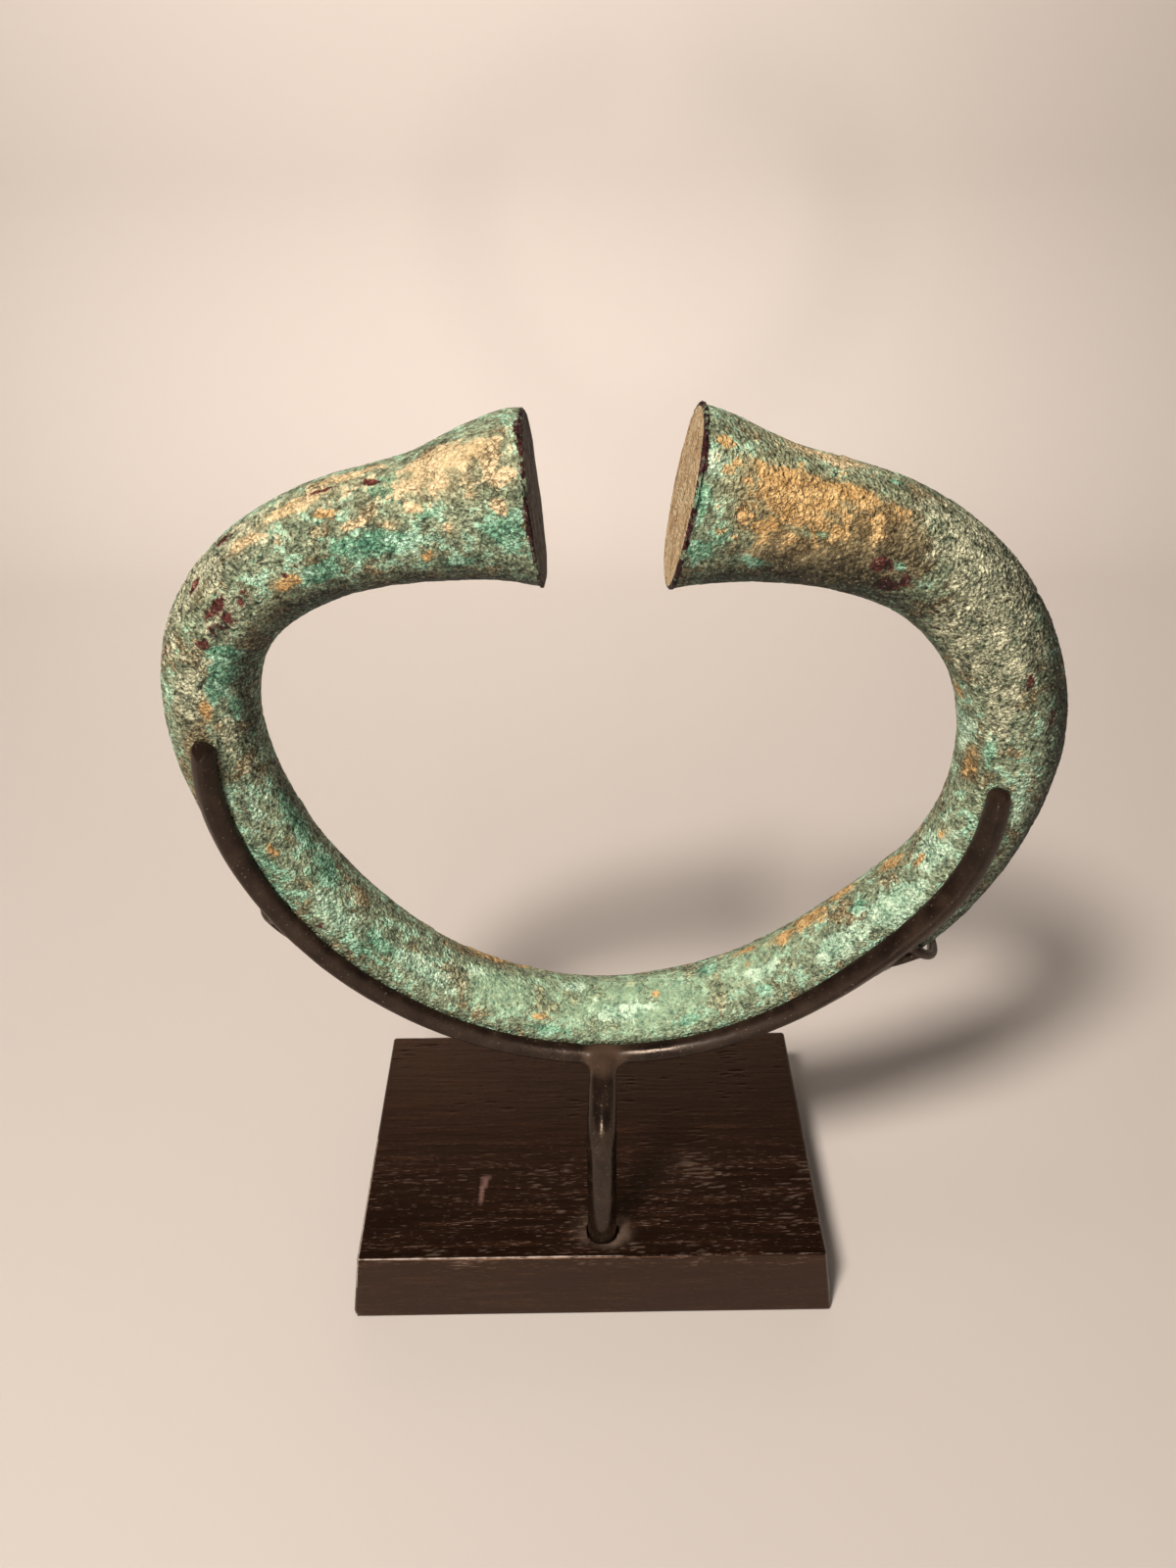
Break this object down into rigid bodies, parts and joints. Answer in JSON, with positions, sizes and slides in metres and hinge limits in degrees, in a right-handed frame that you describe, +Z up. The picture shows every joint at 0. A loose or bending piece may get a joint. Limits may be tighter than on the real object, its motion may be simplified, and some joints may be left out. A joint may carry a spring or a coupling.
{
  "type": "manilla on a display stand",
  "caption": "Open cast copper-alloy ring with flared flat ends, green with old corrosion, held upright by a dark metal cradle on a tapered wooden block.",
  "frame": {"origin": "middle of the block's flat underside", "axes": "+Z up, +X to the viewer's right, +Y from the front of the stand, where the post and the strap are, to its back"},
  "size_m": [0.1944, 0.0858, 0.2392],
  "materials": {
    "corroded_copper_alloy": "rough mineral corrosion crust, green with tan, ochre and dark red patches",
    "blackened_steel": "dark brown-black patinated metal, satin",
    "ebonised_wood": "ebonised open-pored hardwood, thin satin finish"
  },
  "bodies": {
    "root": {"manilla": "corroded_copper_alloy", "cradle": "blackened_steel", "base": "ebonised_wood"}
  },
  "joints": []
}
